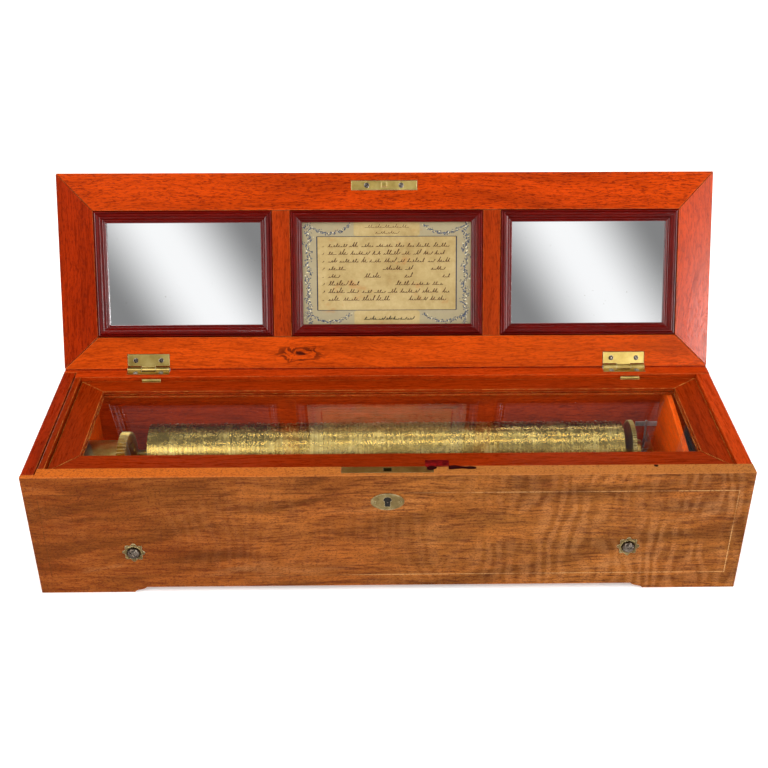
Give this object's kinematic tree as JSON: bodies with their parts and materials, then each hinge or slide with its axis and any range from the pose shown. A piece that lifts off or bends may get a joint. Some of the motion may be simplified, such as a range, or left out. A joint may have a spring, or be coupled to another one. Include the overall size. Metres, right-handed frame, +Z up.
{
  "type": "cylinder music box",
  "caption": "Key-wind cylinder music box: slim wooden case, mirrored lid with tune card, glazed inner lid, drop end flap, and pinned brass cylinder movement with comb and governor.",
  "frame": {"origin": "centre of the footprint of the whole object with its lid open, on the surface it stands on", "axes": "+X to the right along the case, +Y to the back, +Z up; the case front faces -Y"},
  "size_m": [0.562, 0.2502, 0.2648],
  "materials": {
    "walnut": "polished figured walnut veneer",
    "mahogany": "french polished red mahogany",
    "redwood": "polished darker red mahogany",
    "moulding": "glossy dark stained moulding",
    "brass": "aged lacquered brass",
    "steel": "worn polished steel",
    "mirror": "silvered plate glass",
    "glass": "clear window glass",
    "paper": "aged tune card, printed border",
    "ribbon": "faded silk ribbon"
  },
  "bodies": {
    "root": {"front_panel": "walnut", "back_panel": "mahogany", "right_end_panel": "mahogany", "flap_sill": "mahogany", "bottom_board": "mahogany", "end_rail": "redwood", "left_partition": "mahogany", "right_partition": "mahogany", "lock_case": "brass", "keyhole_escutcheon": "brass", "screw_rosette_left": "brass", "screw_rosette_right": "brass", "movement_screw_left": "steel", "movement_screw_right": "steel", "lid_hinge_case_leaf_left": "brass", "lid_hinge_case_leaf_right": "brass", "flap_hinge_lower_leaf": "brass", "bedplate": "brass", "cylinder_cock_left": "brass", "cylinder_cock_right": "brass", "barrel_bracket": "brass", "comb_base": "brass", "comb": "steel", "governor_cock": "brass"},
    "lid": {"lid_board": "walnut", "lid_front_rail": "mahogany", "lid_back_rail": "mahogany", "lid_left_stile": "mahogany", "lid_right_stile": "mahogany", "lid_muntin_left": "mahogany", "lid_muntin_right": "mahogany", "lid_moulding_left": "moulding", "lid_moulding_centre": "moulding", "lid_moulding_right": "moulding", "lid_mirror_left": "mirror", "lid_mirror_right": "mirror", "tune_card": "paper", "lid_link_plate": "brass", "lid_hinge_lid_leaf_left": "brass", "lid_hinge_lid_leaf_right": "brass"},
    "glass_lid": {"glass_frame_front": "redwood", "glass_frame_back": "redwood", "glass_frame_left": "redwood", "glass_frame_right": "redwood", "glass_pane": "glass", "glass_hinge_left": "brass", "glass_hinge_right": "brass", "ribbon_pull": "ribbon"},
    "flap": {"end_flap": "mahogany", "flap_hinge_upper_leaf": "brass"},
    "bolt": {"lock_bolt": "steel"},
    "arbor": {"cylinder_arbor": "steel"},
    "tune_cylinder": {"cylinder": "brass"},
    "barrel": {"spring_barrel": "brass"},
    "winder": {"winding_arbor": "steel"},
    "click": {"ratchet_click": "steel"},
    "governor": {"governor_wheel": "brass"},
    "fly": {"worm_and_fly": "steel"},
    "start_lever": {"start_stop_lever": "brass"},
    "change_lever": {"tune_change_lever": "brass"}
  },
  "joints": [
    {"name": "lid_hinge", "type": "hinge", "parent": "root", "child": "lid", "pos_m": [0.00095, 0.04295, 0.1129], "axis": [-1, 0, 0], "range_deg": [-114.4, 0]},
    {"name": "glass_lid_hinge", "type": "hinge", "parent": "root", "child": "glass_lid", "pos_m": [0.00095, 0.02945, 0.1101], "axis": [-1, 0, 0], "range_deg": [0, 85]},
    {"name": "flap_hinge", "type": "hinge", "parent": "root", "child": "flap", "pos_m": [-0.27905, -0.03905, 0.012], "axis": [0, -1, 0], "range_deg": [0, 90]},
    {"name": "lock_bolt_slide", "type": "slide", "parent": "root", "child": "bolt", "axis": [-1, 0, 0], "range_m": [0, 0.006]},
    {"name": "cylinder_turn", "type": "hinge", "parent": "root", "child": "arbor", "pos_m": [0.00095, -0.01205, 0.0595], "axis": [1, 0, 0], "continuous": true},
    {"name": "tune_shift", "type": "slide", "parent": "arbor", "child": "tune_cylinder", "axis": [1, 0, 0], "range_m": [0, 0.0028]},
    {"name": "barrel_turn", "type": "hinge", "parent": "root", "child": "barrel", "pos_m": [0.00095, -0.04805, 0.065], "axis": [1, 0, 0], "continuous": true},
    {"name": "winding_turn", "type": "hinge", "parent": "root", "child": "winder", "pos_m": [0.00095, -0.04805, 0.065], "axis": [1, 0, 0], "continuous": true},
    {"name": "click_lift", "type": "hinge", "parent": "root", "child": "click", "pos_m": [0.00095, -0.03503, 0.08402], "axis": [-1, 0, 0], "range_deg": [0, 12], "stiffness_Nm_per_rad": 0.01},
    {"name": "governor_turn", "type": "hinge", "parent": "root", "child": "governor", "pos_m": [0.00095, 0.01165, 0.0429], "axis": [1, 0, 0], "continuous": true},
    {"name": "fly_turn", "type": "hinge", "parent": "root", "child": "fly", "pos_m": [0.22295, -0.00155, 0], "axis": [0, 0, 1], "continuous": true},
    {"name": "start_lever_swing", "type": "hinge", "parent": "root", "child": "start_lever", "pos_m": [-0.24005, -0.09405, 0.0412], "axis": [0, 0, 1], "range_deg": [0, 12]},
    {"name": "change_lever_swing", "type": "hinge", "parent": "root", "child": "change_lever", "pos_m": [-0.24005, 0.00495, 0.0412], "axis": [0, 0, -1], "range_deg": [0, 12]}
  ],
  "couplings": [
    {"joint": "barrel_turn", "follows": "cylinder_turn", "ratio": -0.1},
    {"joint": "governor_turn", "follows": "cylinder_turn", "ratio": -9},
    {"joint": "fly_turn", "follows": "cylinder_turn", "ratio": 270}
  ]
}
